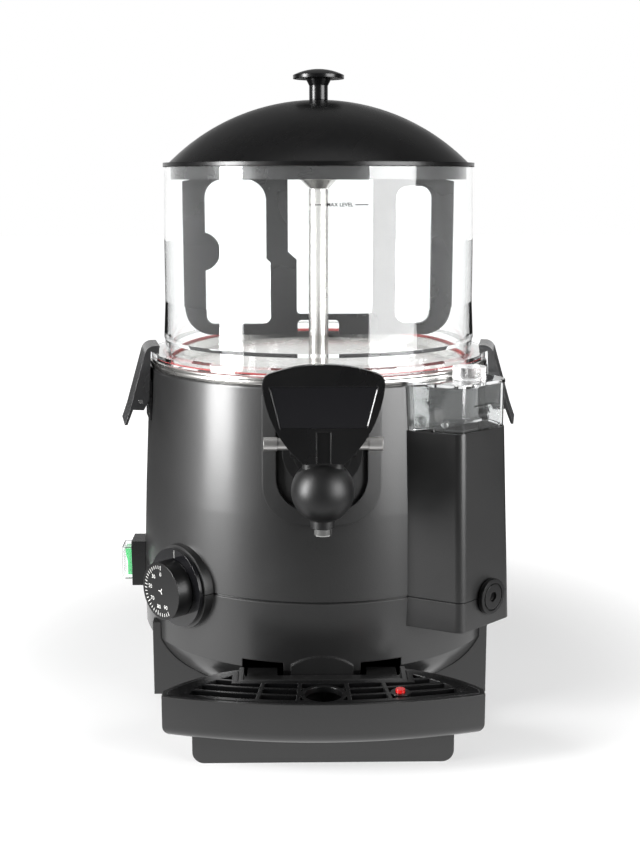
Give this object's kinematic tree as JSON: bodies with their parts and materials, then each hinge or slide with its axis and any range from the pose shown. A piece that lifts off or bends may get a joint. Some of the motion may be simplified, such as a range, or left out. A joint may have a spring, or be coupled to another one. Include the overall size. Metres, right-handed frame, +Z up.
{
  "type": "hot chocolate dispenser",
  "caption": "Countertop hot chocolate dispenser: clear bowl with a turning gate agitator on a heated drum, front tap, side water box, dial, switch and drip tray.",
  "frame": {"origin": "on the bowl's vertical axis at the ground, which is also the middle of the footprint", "axes": "+Z up along the bowl's axis, -Y towards the user and the tap, +X to the user's right, where the water box is"},
  "size_m": [0.3037, 0.413, 0.465],
  "materials": {
    "drum_plastic": "textured",
    "black_plastic": "satin",
    "gloss_black": "polished",
    "clear_bowl": "clear",
    "clear_tank": "clear",
    "steel": "brushed",
    "bright_steel": "polished",
    "red_silicone": "satin",
    "foot_rubber": "matt",
    "green_rocker": "gloss",
    "red_float": "gloss",
    "latch_metal": "satin",
    "motor_metal": "satin",
    "bush_brass": "machined"
  },
  "bodies": {
    "machine": {"upper_housing": "drum_plastic", "lower_housing": "drum_plastic", "rear_stand": "drum_plastic", "rear_cover": "drum_plastic", "tap_body": "black_plastic", "tap_bonnet": "black_plastic", "switch_collar": "black_plastic", "switch_body": "black_plastic", "terminal_block": "black_plastic", "cable_gland": "black_plastic", "thermostat_body": "black_plastic", "dial_bezel": "gloss_black", "bowl": "clear_bowl", "splash_cover": "clear_bowl", "level_tank": "clear_tank", "tank_lid": "clear_tank", "water_bath": "steel", "heated_dish": "steel", "outlet_pipe": "steel", "column_tube": "steel", "heating_element": "steel", "motor_bracket": "steel", "drain_pipe": "steel", "tank_pipe": "steel", "element_nuts": "steel", "safety_cutout": "steel", "tap_pin": "bright_steel", "motor_screws": "bright_steel", "housing_screws": "bright_steel", "latch_pin_left": "bright_steel", "latch_pin_right": "bright_steel", "bowl_gasket": "red_silicone", "rubber_feet": "foot_rubber", "latch_bracket_left": "latch_metal", "latch_bracket_right": "latch_metal", "gearmotor": "motor_metal", "lower_bush": "bush_brass", "upper_bush": "bush_brass"},
    "agitator_drive": {"agitator": "black_plastic", "agitator_hub": "steel", "drive_shaft": "steel", "motor_coupling": "bright_steel"},
    "lid_set": {"lid": "black_plastic", "lid_knob": "black_plastic", "knob_screw": "bright_steel"},
    "tap_handle": {"tap_lever": "black_plastic", "lever_panel": "gloss_black"},
    "tap_valve": {"tap_piston": "bright_steel", "tap_spring": "bright_steel"},
    "latch_left": {"latch_lever_left": "latch_metal"},
    "latch_right": {"latch_lever_right": "latch_metal"},
    "thermostat_dial": {"dial_knob": "black_plastic", "dial_spindle": "steel"},
    "power_rocker": {"rocker": "green_rocker"},
    "tray": {"drip_tray": "drum_plastic"},
    "grid": {"drip_grid": "black_plastic"},
    "tray_marker": {"tray_float": "red_float"},
    "filler_cap": {"tank_cap": "clear_tank"},
    "water_float": {"level_float": "clear_tank"},
    "drain_stopper": {"drain_plug": "black_plastic"}
  },
  "joints": [
    {"name": "agitator_turn", "type": "hinge", "parent": "machine", "child": "agitator_drive", "pos_m": [0, 0, 0.3], "axis": [0, 0, 1], "continuous": true},
    {"name": "lid_lift", "type": "slide", "parent": "machine", "child": "lid_set", "axis": [0, 0, 1], "range_m": [0, 0.15]},
    {"name": "lever_pull", "type": "hinge", "parent": "machine", "child": "tap_handle", "pos_m": [0, -0.167, 0.216], "axis": [1, 0, 0], "range_deg": [0, 18], "stiffness_Nm_per_rad": 0.3, "springref_deg": -8.59},
    {"name": "valve_lift", "type": "slide", "parent": "machine", "child": "tap_valve", "axis": [0, 0, 1], "range_m": [0, 0.0036], "stiffness_N_per_m": 80, "springref_m": -0.004, "deforming": ["tap_spring"]},
    {"name": "latch_left_swing", "type": "hinge", "parent": "machine", "child": "latch_left", "pos_m": [-0.13589, -0.02518, 0.223], "axis": [0.1822, -0.9833, 0], "range_deg": [0, 30]},
    {"name": "latch_right_swing", "type": "hinge", "parent": "machine", "child": "latch_right", "pos_m": [0.13589, -0.02518, 0.223], "axis": [0.1822, 0.9833, 0], "range_deg": [0, 30]},
    {"name": "dial_turn", "type": "hinge", "parent": "machine", "child": "thermostat_dial", "pos_m": [-0.1097, -0.1023, 0.097], "axis": [-0.7314, -0.682, 0], "range_deg": [-270, 0]},
    {"name": "rocker_tilt", "type": "hinge", "parent": "machine", "child": "power_rocker", "pos_m": [-0.143, -0.012, 0.0925], "axis": [0, -1, 0], "range_deg": [-8, 0]},
    {"name": "tray_pull", "type": "slide", "parent": "machine", "child": "tray", "axis": [0, -1, 0], "range_m": [0, 0.08]},
    {"name": "grid_lift", "type": "slide", "parent": "tray", "child": "grid", "axis": [0, 0, 1], "range_m": [0, 0.05]},
    {"name": "marker_rise", "type": "slide", "parent": "grid", "child": "tray_marker", "axis": [0, 0, 1], "range_m": [0, 0.006]},
    {"name": "cap_lift", "type": "slide", "parent": "machine", "child": "filler_cap", "axis": [0, 0, 1], "range_m": [0, 0.03]},
    {"name": "float_rise", "type": "slide", "parent": "machine", "child": "water_float", "axis": [0, 0, 1], "range_m": [0, 0.01]},
    {"name": "plug_pull", "type": "slide", "parent": "machine", "child": "drain_stopper", "axis": [0.6884, -0.7254, 0], "range_m": [0, 0.03]}
  ],
  "couplings": [
    {"joint": "valve_lift", "follows": "lever_pull", "m_per_rad": 0.01145}
  ]
}
